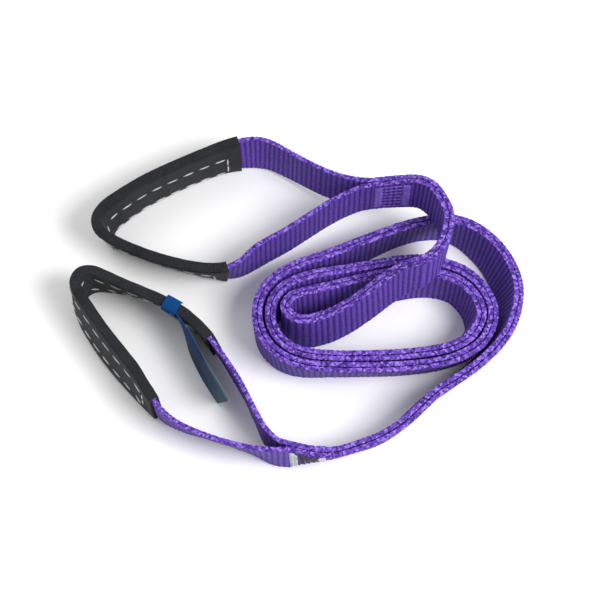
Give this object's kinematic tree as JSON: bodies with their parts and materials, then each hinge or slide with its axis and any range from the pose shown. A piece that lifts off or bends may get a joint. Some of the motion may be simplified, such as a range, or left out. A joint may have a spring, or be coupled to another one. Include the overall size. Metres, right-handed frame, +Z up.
{
  "type": "flat web sling",
  "caption": "Two-ply flat web lifting sling with a sewn soft eye and a black wear sleeve at each end, lying loosely coiled on its web edge.",
  "frame": {"origin": "middle of the footprint, on the ground that the coiled sling lies on", "axes": "+Z up; +X along the coil's long side, from the eyes towards the turns; +Y away from the side where the lower eye joins the body"},
  "size_m": [0.2776, 0.214, 0.062],
  "materials": {
    "violet_web": "woven polyester, cross ribs, satin",
    "black_sleeve": "heavy woven cloth, dull",
    "white_thread": "thick sewing thread",
    "splice_thread": "thick sewing thread",
    "blue_label": "smooth printed cloth",
    "clear_film": "cloudy translucent film"
  },
  "bodies": {
    "coil": {"body_outer_ply": "violet_web", "body_inner_ply": "violet_web", "splice_a_stitches": "splice_thread", "splice_b_stitches": "splice_thread"},
    "eye_a": {"eye_a_web": "violet_web", "eye_a_sleeve": "black_sleeve", "eye_a_sleeve_stitches": "white_thread"},
    "eye_b": {"eye_b_web": "violet_web", "eye_b_sleeve": "black_sleeve", "eye_b_sleeve_stitches": "white_thread", "label_sewn_end": "blue_label", "label_stitches": "splice_thread"},
    "label_flap": {"label_leaf": "blue_label", "label_cover": "clear_film"}
  },
  "joints": [
    {"name": "eye_a_swing", "type": "hinge", "parent": "coil", "child": "eye_a", "pos_m": [0.0465, 0.06745, 0.029], "axis": [0, 0, 1], "range_deg": [-25, 3]},
    {"name": "eye_b_swing", "type": "hinge", "parent": "coil", "child": "eye_b", "pos_m": [-0.0035, -0.10005, 0.0156], "axis": [0, 0, 1], "range_deg": [-3, 25]},
    {"name": "label_fold", "type": "hinge", "parent": "eye_b", "child": "label_flap", "pos_m": [-0.0725, -0.01436, 0.01629], "axis": [0, 0, 1], "range_deg": [-20, 3]}
  ]
}
